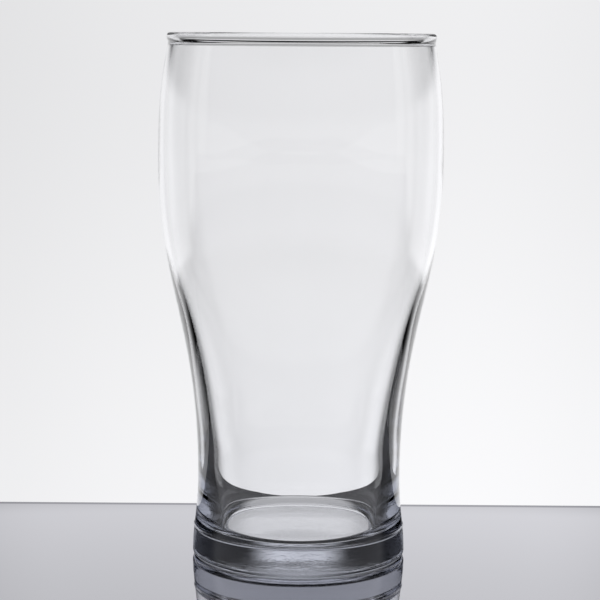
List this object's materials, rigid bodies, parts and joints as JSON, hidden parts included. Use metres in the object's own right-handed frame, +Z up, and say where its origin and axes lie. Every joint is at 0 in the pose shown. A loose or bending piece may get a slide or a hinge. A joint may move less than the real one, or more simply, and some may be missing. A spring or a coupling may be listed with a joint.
{
  "type": "pint glass",
  "caption": "Clear tulip pint glass with a swelling bowl, a narrow waist, a thick heavy base with a shallow push-up under it, and a fire-polished, beaded rim.",
  "frame": {"origin": "middle of the circle that the foot stands on, at the table's surface", "axes": "+Z up along the glass's axis of revolution, towards the rim; +X and +Y are any two square directions across it"},
  "size_m": [0.086, 0.086, 0.1597],
  "materials": {
    "clear_glass": "clear, colourless, fire-polished soda-lime glass"
  },
  "bodies": {
    "root": {"glass_body": "clear_glass"}
  },
  "joints": []
}
